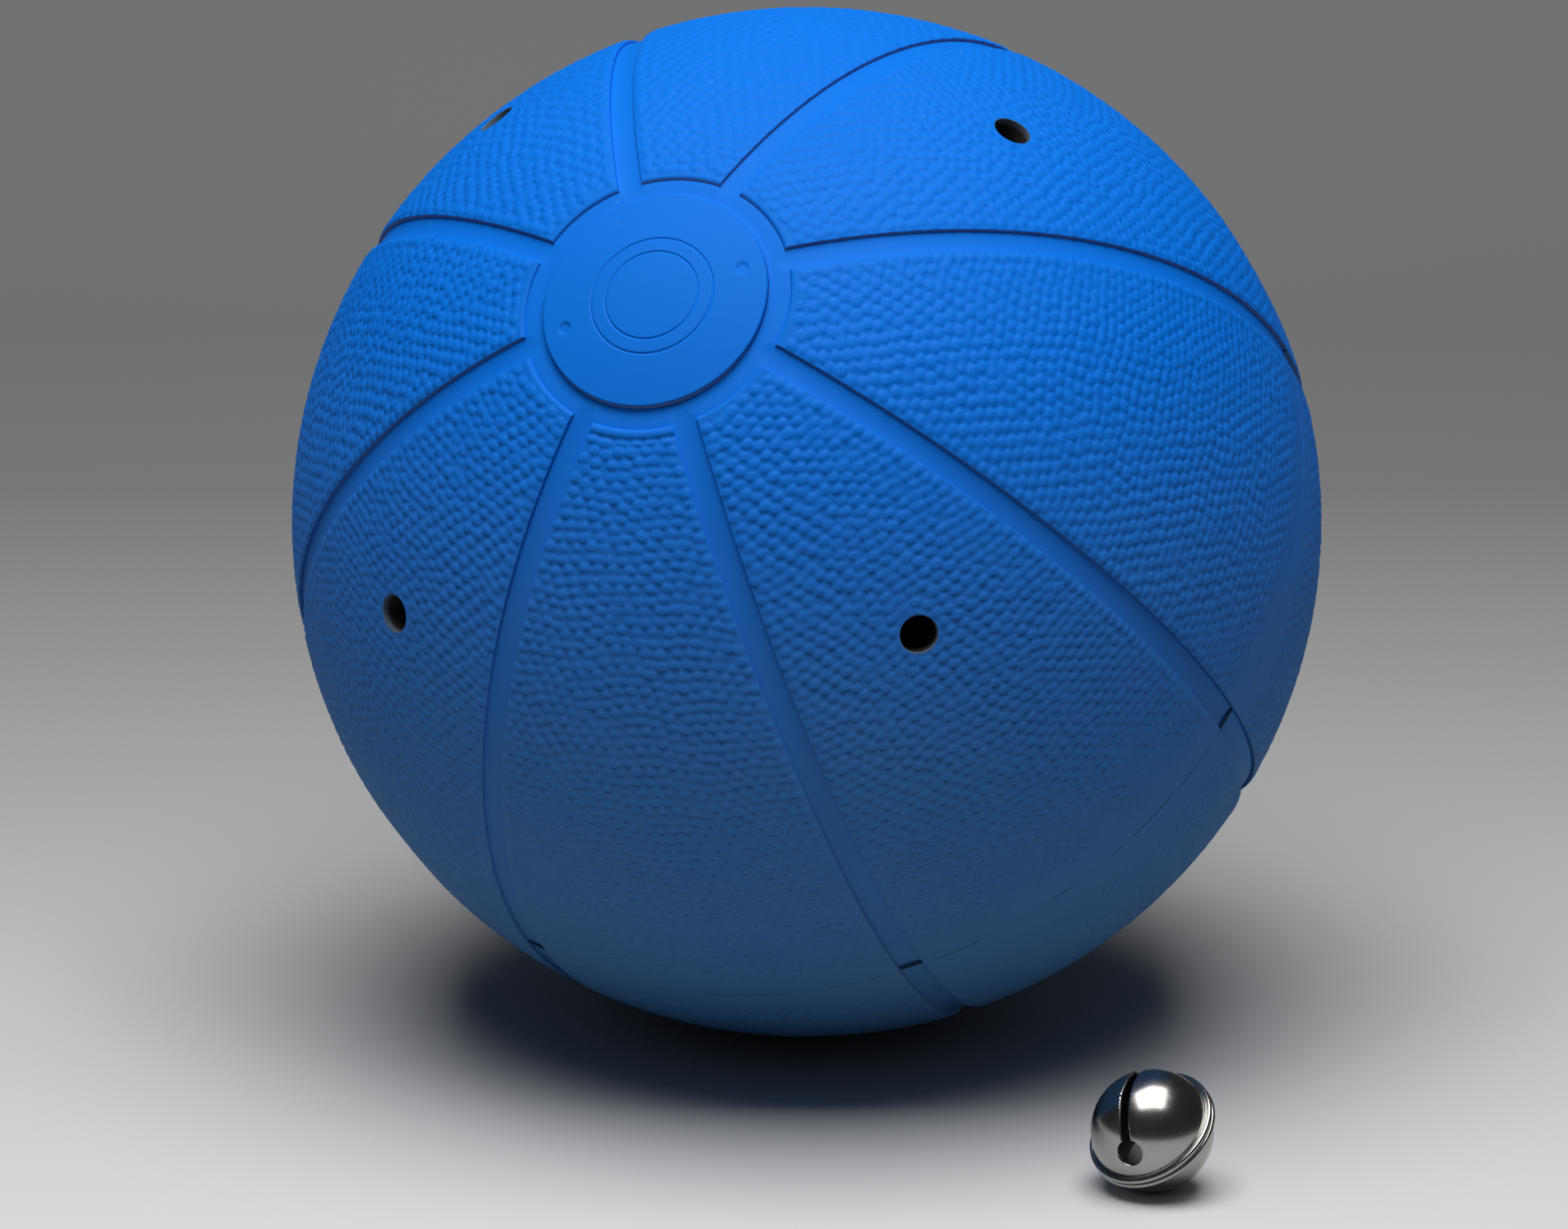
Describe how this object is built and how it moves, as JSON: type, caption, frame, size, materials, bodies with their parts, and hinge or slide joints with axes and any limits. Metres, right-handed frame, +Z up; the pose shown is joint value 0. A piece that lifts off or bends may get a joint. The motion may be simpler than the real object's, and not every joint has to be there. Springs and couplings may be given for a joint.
{
  "type": "goalball ball",
  "caption": "Hollow moulded rubber sound ball with pebbled panels, smooth channels, sound holes through the wall and loose jingle bells inside.",
  "frame": {"origin": "the point where the ball rests, straight under its centre, on the plane of the floor", "axes": "+Z up, +Y to the back, +X to the right; the ball's pole leans to the front and a little to the left"},
  "size_m": [0.2416, 0.2647, 0.2418],
  "materials": {
    "blue_rubber": "satin moulded, pebbled panels",
    "polished_steel": "polished",
    "pellet_steel": "tumbled"
  },
  "bodies": {
    "ball": {"upper_half_shell": "blue_rubber", "lower_half_shell": "blue_rubber"},
    "bell_1": {"bell_1_slotted_cup": "polished_steel", "bell_1_plain_cup": "polished_steel"},
    "bell_1_pellet": {"bell_1_pellet": "pellet_steel"},
    "bell_2": {"bell_2_slotted_cup": "polished_steel", "bell_2_plain_cup": "polished_steel"},
    "bell_2_pellet": {"bell_2_pellet": "pellet_steel"},
    "sample_bell": {"sample_bell_slotted_cup": "polished_steel", "sample_bell_plain_cup": "polished_steel"},
    "sample_bell_pellet": {"sample_bell_pellet": "pellet_steel"}
  },
  "joints": [
    {"name": "bell_1_roll", "type": "hinge", "parent": "ball", "child": "bell_1", "pos_m": [0, 0, 0.121], "axis": [1, 0, 0], "continuous": true},
    {"name": "bell_2_roll", "type": "hinge", "parent": "ball", "child": "bell_2", "pos_m": [0, 0, 0.121], "axis": [1, 0, 0], "continuous": true},
    {"name": "bell_1_pellet_roll", "type": "hinge", "parent": "bell_1", "child": "bell_1_pellet", "pos_m": [-0.0165, 0, 0.02374], "axis": [1, 0, 0], "continuous": true},
    {"name": "bell_2_pellet_roll", "type": "hinge", "parent": "bell_2", "child": "bell_2_pellet", "pos_m": [0.0165, 0, 0.02374], "axis": [1, 0, 0], "continuous": true},
    {"name": "sample_bell_lift", "type": "slide", "parent": "ball", "child": "sample_bell", "axis": [0, 0, 1], "range_m": [0, 0.1]},
    {"name": "sample_bell_pellet_roll", "type": "hinge", "parent": "sample_bell", "child": "sample_bell_pellet", "pos_m": [0.0781, -0.1297, 0.014], "axis": [1, 0, 0], "continuous": true}
  ]
}
